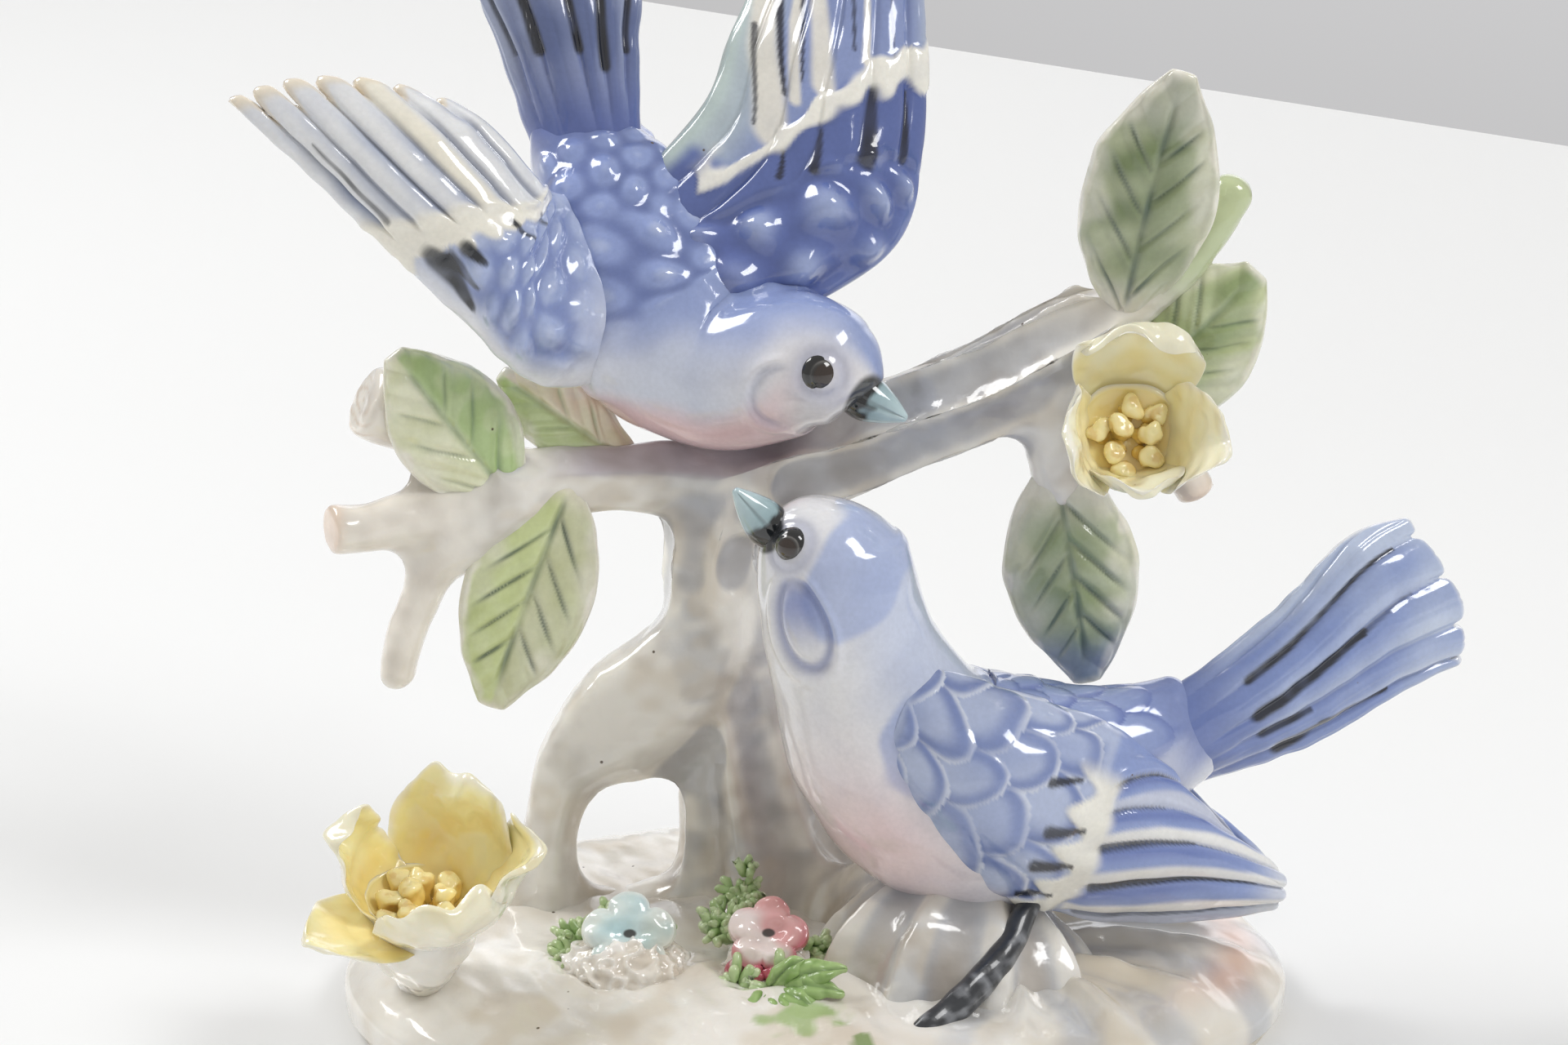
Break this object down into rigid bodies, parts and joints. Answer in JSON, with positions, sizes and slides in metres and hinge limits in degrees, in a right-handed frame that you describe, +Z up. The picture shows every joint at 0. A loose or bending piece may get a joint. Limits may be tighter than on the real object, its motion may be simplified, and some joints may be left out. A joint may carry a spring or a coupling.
{
  "type": "porcelain bird figurine",
  "caption": "Hand-painted porcelain figurine of songbirds on a forked flowering tree: one diving, one perched, over an oval mound with open flowers and moss.",
  "frame": {"origin": "middle of the flat underside of the oval foot plate", "axes": "+Z up, -Y towards the viewer in front of the figurine, +X to the viewer's right"},
  "size_m": [0.1472, 0.084, 0.1377],
  "materials": {
    "glazed_porcelain": "clear gloss glaze over white porcelain",
    "bark_glaze": "clear gloss glaze over hand-painted colour",
    "bud_enamel": "clear gloss glaze over hand-painted colour",
    "leaf_enamel": "clear gloss glaze over hand-painted colour",
    "bird_enamel": "clear gloss glaze over hand-painted colour",
    "feather_enamel": "clear gloss glaze over hand-painted colour",
    "beak_enamel": "clear gloss glaze over hand-painted colour",
    "eye_enamel": "clear gloss glaze over hand-painted colour",
    "twig_enamel": "clear gloss glaze over hand-painted colour",
    "flower_porcelain": "clear gloss glaze over white porcelain",
    "petal_enamel": "clear gloss glaze over hand-painted colour",
    "stamen_enamel": "clear gloss glaze over hand-painted colour",
    "blue_blossom_enamel": "clear gloss glaze over hand-painted colour",
    "pink_blossom_enamel": "clear gloss glaze over hand-painted colour",
    "moss_enamel": "clear gloss glaze over hand-painted colour",
    "bud_red_enamel": "clear gloss glaze over hand-painted colour"
  },
  "bodies": {
    "root": {"base_plate": "glazed_porcelain", "base_mound": "glazed_porcelain", "tree_trunk": "bark_glaze", "looping_limb": "bark_glaze", "left_branch": "bark_glaze", "right_branch": "bark_glaze", "right_fork": "bark_glaze", "upper_left_stub": "bark_glaze", "middle_left_stub": "bark_glaze", "lower_left_twig": "bark_glaze", "bud_stub": "bud_enamel", "lower_right_stub": "bark_glaze", "upright_leaf": "leaf_enamel", "outer_leaf": "leaf_enamel", "right_hanging_leaf": "leaf_enamel", "upper_left_leaf": "leaf_enamel", "inner_leaf": "leaf_enamel", "left_hanging_leaf": "leaf_enamel", "diving_bird_body": "bird_enamel", "diving_bird_tail": "feather_enamel", "diving_bird_near_wing": "feather_enamel", "diving_bird_far_wing": "feather_enamel", "diving_bird_beak": "beak_enamel", "diving_bird_eyes": "eye_enamel", "perched_bird_body": "bird_enamel", "perched_bird_tail": "feather_enamel", "perched_bird_near_wing": "feather_enamel", "perched_bird_far_wing": "feather_enamel", "perched_bird_beak": "beak_enamel", "perched_bird_eyes": "eye_enamel", "rock": "bark_glaze", "painted_twig": "twig_enamel", "upper_flower_cup": "flower_porcelain", "upper_flower_top_petal": "petal_enamel", "upper_flower_left_petal": "petal_enamel", "upper_flower_right_petal": "petal_enamel", "upper_flower_bottom_petal": "petal_enamel", "upper_flower_stamens": "stamen_enamel", "lower_flower_cup": "flower_porcelain", "lower_flower_back_petal": "petal_enamel", "lower_flower_right_petal": "petal_enamel", "lower_flower_front_petal": "petal_enamel", "lower_flower_left_petal": "petal_enamel", "lower_flower_side_petal": "petal_enamel", "lower_flower_stamens": "stamen_enamel", "blue_blossom": "blue_blossom_enamel", "blue_blossom_mound": "flower_porcelain", "pink_blossom": "pink_blossom_enamel", "pink_blossom_mound": "flower_porcelain", "blue_blossom_moss": "moss_enamel", "pink_blossom_moss": "moss_enamel", "leafy_sprig": "moss_enamel", "red_buds": "bud_red_enamel"}
  },
  "joints": []
}
